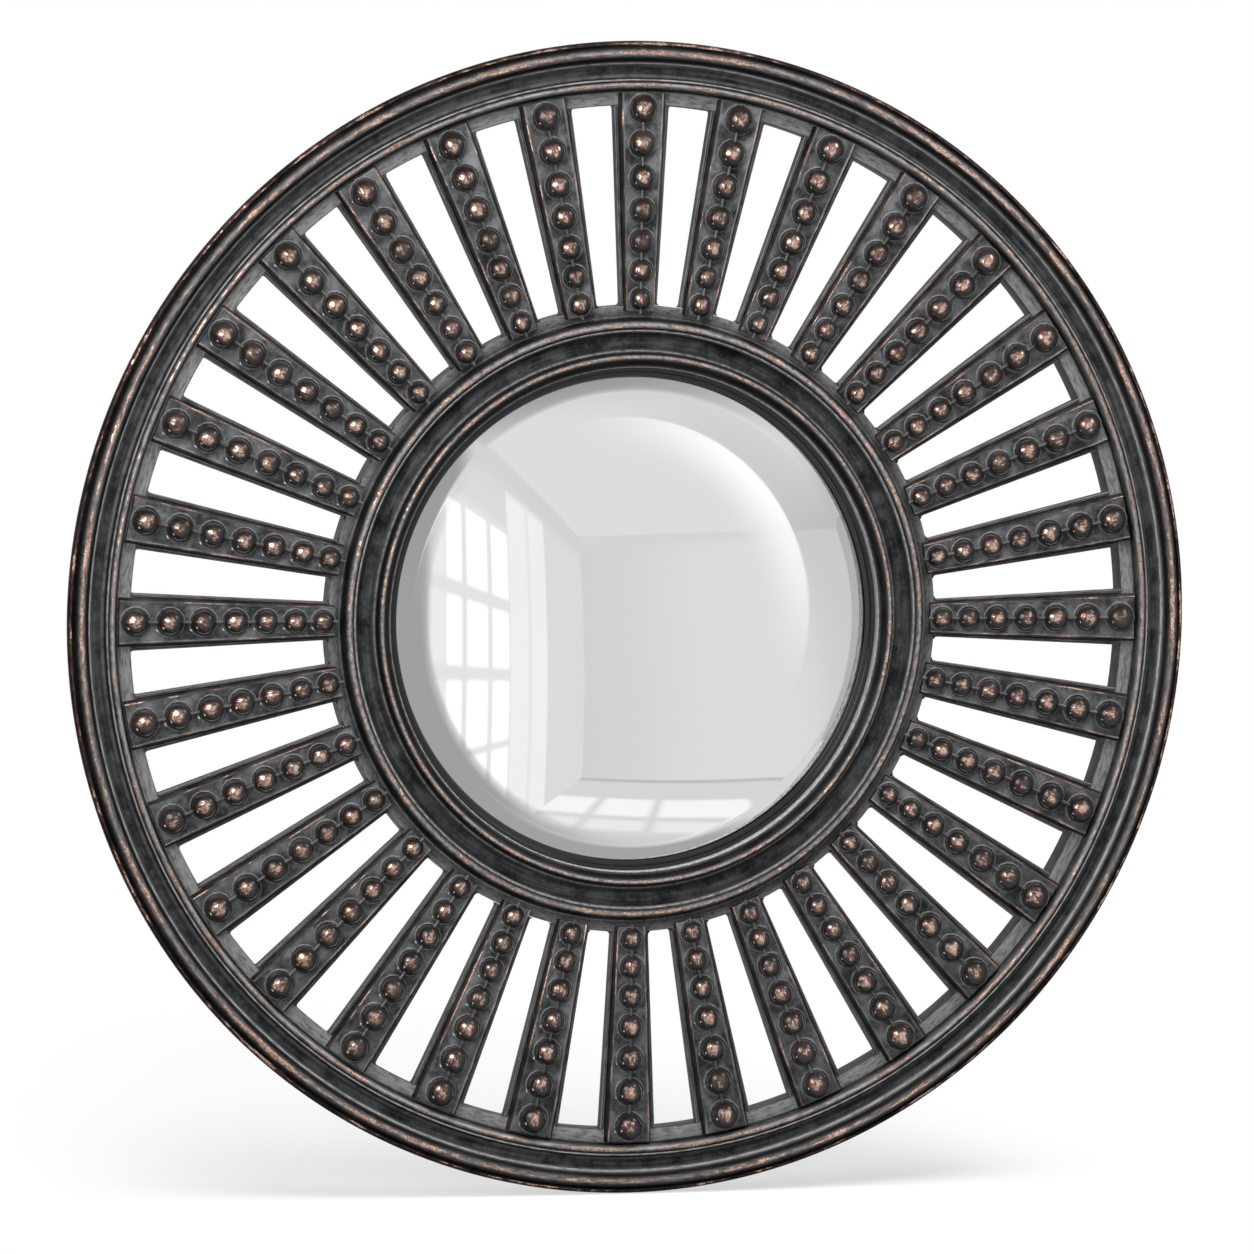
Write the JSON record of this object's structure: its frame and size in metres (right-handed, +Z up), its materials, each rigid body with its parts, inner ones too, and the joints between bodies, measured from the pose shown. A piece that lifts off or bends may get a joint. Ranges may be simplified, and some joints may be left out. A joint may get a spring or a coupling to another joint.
{
  "type": "round convex wall mirror",
  "caption": "Round wall mirror with a small convex glass in a wide openwork frame of beaded radial spokes between two moulded rings.",
  "frame": {"origin": "on the wall, behind the centre of the glass: the plane of the bumpers' faces", "axes": "+Z up, the mirror looks along -Y, +Y points into the wall, +X is to the right of someone who looks at the glass"},
  "size_m": [0.8999, 0.0431, 0.9],
  "materials": {
    "aged_bronze": "cast resin painted charcoal bronze, copper rubbed through on the crests, grey dust in the hollows",
    "rubbed_beads": "cast resin painted dark bronze and polished, copper rubbed through on the crowns",
    "black_slip": "gloss black",
    "mirror": "silvered convex glass",
    "hardboard": "plain brown hardboard",
    "foam": "closed-cell foam",
    "foam_rubber": "matt black rubber",
    "zinc_steel": "bright zinc plate"
  },
  "bodies": {
    "frame": {"outer_ring": "aged_bronze", "inner_ring": "aged_bronze", "slip_ring": "black_slip", "mirror_glass": "mirror", "spacer_blocks": "foam", "back_board": "hardboard", "board_clips": "zinc_steel", "clip_screws": "zinc_steel", "spoke_01": "aged_bronze", "spoke_02": "aged_bronze", "spoke_03": "aged_bronze", "spoke_04": "aged_bronze", "spoke_05": "aged_bronze", "spoke_06": "aged_bronze", "spoke_07": "aged_bronze", "spoke_08": "aged_bronze", "spoke_09": "aged_bronze", "spoke_10": "aged_bronze", "spoke_11": "aged_bronze", "spoke_12": "aged_bronze", "spoke_13": "aged_bronze", "spoke_14": "aged_bronze", "spoke_15": "aged_bronze", "spoke_16": "aged_bronze", "spoke_17": "aged_bronze", "spoke_18": "aged_bronze", "spoke_19": "aged_bronze", "spoke_20": "aged_bronze", "spoke_21": "aged_bronze", "spoke_22": "aged_bronze", "spoke_23": "aged_bronze", "spoke_24": "aged_bronze", "spoke_25": "aged_bronze", "spoke_26": "aged_bronze", "spoke_27": "aged_bronze", "spoke_28": "aged_bronze", "spoke_29": "aged_bronze", "spoke_30": "aged_bronze", "spoke_31": "aged_bronze", "spoke_32": "aged_bronze", "beads": "rubbed_beads", "hanger_straps": "zinc_steel", "hanger_screws": "zinc_steel", "wall_bumpers": "foam_rubber"},
    "left_ring": {"hanging_ring_left": "zinc_steel"},
    "right_ring": {"hanging_ring_right": "zinc_steel"}
  },
  "joints": [
    {"name": "left_ring_swing", "type": "hinge", "parent": "frame", "child": "left_ring", "pos_m": [-0.2984, -0.0045, 0.3168], "axis": [1, 0, 0], "range_deg": [0, 180]},
    {"name": "right_ring_swing", "type": "hinge", "parent": "frame", "child": "right_ring", "pos_m": [0.2984, -0.0045, 0.3168], "axis": [1, 0, 0], "range_deg": [0, 180]}
  ]
}
